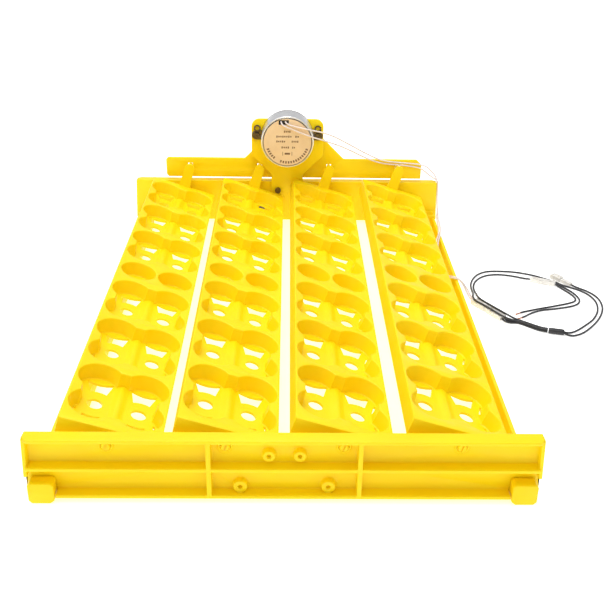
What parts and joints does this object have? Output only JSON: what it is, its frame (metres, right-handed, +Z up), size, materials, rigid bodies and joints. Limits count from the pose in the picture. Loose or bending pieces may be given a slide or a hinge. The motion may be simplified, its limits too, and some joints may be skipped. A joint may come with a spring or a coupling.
{
  "type": "egg turning rack for an incubator",
  "caption": "Yellow plastic frame with tilting egg trays, tipped together by a sliding link bar and a small gear motor with its leads.",
  "frame": {"origin": "centre of the frame's footprint on the surface it stands on", "axes": "+Z up, the motor is at the +Y end, trays tip about axes along Y, +X to the right seen from the front end"},
  "size_m": [0.4221, 0.452, 0.1174],
  "materials": {
    "yellow_plastic": "moulded, satin",
    "bright_steel": "bright plated",
    "gold_label": "printed film",
    "copper_winding": "enamelled wire",
    "dark_ferrite": "ferrite",
    "white_nylon": "moulded nylon",
    "white_insulation": "soft insulation",
    "black_insulation": "soft insulation"
  },
  "bodies": {
    "rack": {"front_end_rail": "yellow_plastic", "rear_end_rail": "yellow_plastic", "left_side_rail": "yellow_plastic", "right_side_rail": "yellow_plastic", "motor_bracket": "yellow_plastic", "motor_can": "bright_steel", "motor_label": "gold_label", "motor_gear_plate": "bright_steel", "stator_coil": "copper_winding", "motor_screw_left": "bright_steel", "motor_screw_right": "bright_steel", "motor_nut_left": "bright_steel", "motor_nut_right": "bright_steel", "bracket_screw_upper_left": "bright_steel", "bracket_screw_upper_right": "bright_steel", "bracket_screw_lower_left": "bright_steel", "bracket_screw_lower_right": "bright_steel", "white_lead_lower": "white_insulation", "white_lead_upper": "white_insulation", "plug_housing": "white_nylon", "socket_housing": "white_nylon", "feed_lead_lower": "black_insulation", "feed_lead_upper": "black_insulation", "splice_sleeve": "black_insulation", "long_loop_lead": "black_insulation", "short_loop_lead": "black_insulation", "return_loop_lead": "black_insulation", "tail_lead_inner": "black_insulation", "tail_lead_outer": "black_insulation", "inline_housing_a": "white_nylon", "inline_housing_b": "white_nylon", "inline_socket_b": "white_nylon"},
    "rotor": {"rotor_magnet": "dark_ferrite"},
    "crank": {"reduction_gear": "bright_steel", "output_shaft": "bright_steel", "crank_disc": "white_nylon", "crank_pin_screw": "bright_steel"},
    "link": {"link_bar": "yellow_plastic"},
    "tray_1": {"tray_1": "yellow_plastic"},
    "tray_2": {"tray_2": "yellow_plastic"},
    "tray_3": {"tray_3": "yellow_plastic"},
    "tray_4": {"tray_4": "yellow_plastic"}
  },
  "joints": [
    {"name": "crank_turn", "type": "hinge", "parent": "rack", "child": "crank", "pos_m": [0, 0.217, 0.0925], "axis": [0, 1, 0], "range_deg": [0, 180]},
    {"name": "rotor_spin", "type": "hinge", "parent": "rack", "child": "rotor", "pos_m": [0, 0.196, 0.0925], "axis": [0, 1, 0], "continuous": true},
    {"name": "link_slide", "type": "slide", "parent": "rack", "child": "link", "axis": [1, 0, 0], "range_m": [-0.01377, 0]},
    {"name": "tray_1_tilt", "type": "hinge", "parent": "rack", "child": "tray_1", "pos_m": [-0.1032, 0, 0.036], "axis": [0, 1, 0], "range_deg": [-35.01, 0]},
    {"name": "tray_2_tilt", "type": "hinge", "parent": "rack", "child": "tray_2", "pos_m": [-0.0344, 0, 0.036], "axis": [0, 1, 0], "range_deg": [-35.01, 0]},
    {"name": "tray_3_tilt", "type": "hinge", "parent": "rack", "child": "tray_3", "pos_m": [0.0344, 0, 0.036], "axis": [0, 1, 0], "range_deg": [-35.01, 0]},
    {"name": "tray_4_tilt", "type": "hinge", "parent": "rack", "child": "tray_4", "pos_m": [0.1032, 0, 0.036], "axis": [0, 1, 0], "range_deg": [-35.01, 0]}
  ],
  "couplings": [
    {"joint": "link_slide", "follows": "crank_turn", "m_per_rad": -0.0043838},
    {"joint": "tray_1_tilt", "follows": "crank_turn", "ratio": -0.19444},
    {"joint": "tray_2_tilt", "follows": "crank_turn", "ratio": -0.19444},
    {"joint": "tray_3_tilt", "follows": "crank_turn", "ratio": -0.19444},
    {"joint": "tray_4_tilt", "follows": "crank_turn", "ratio": -0.19444}
  ]
}
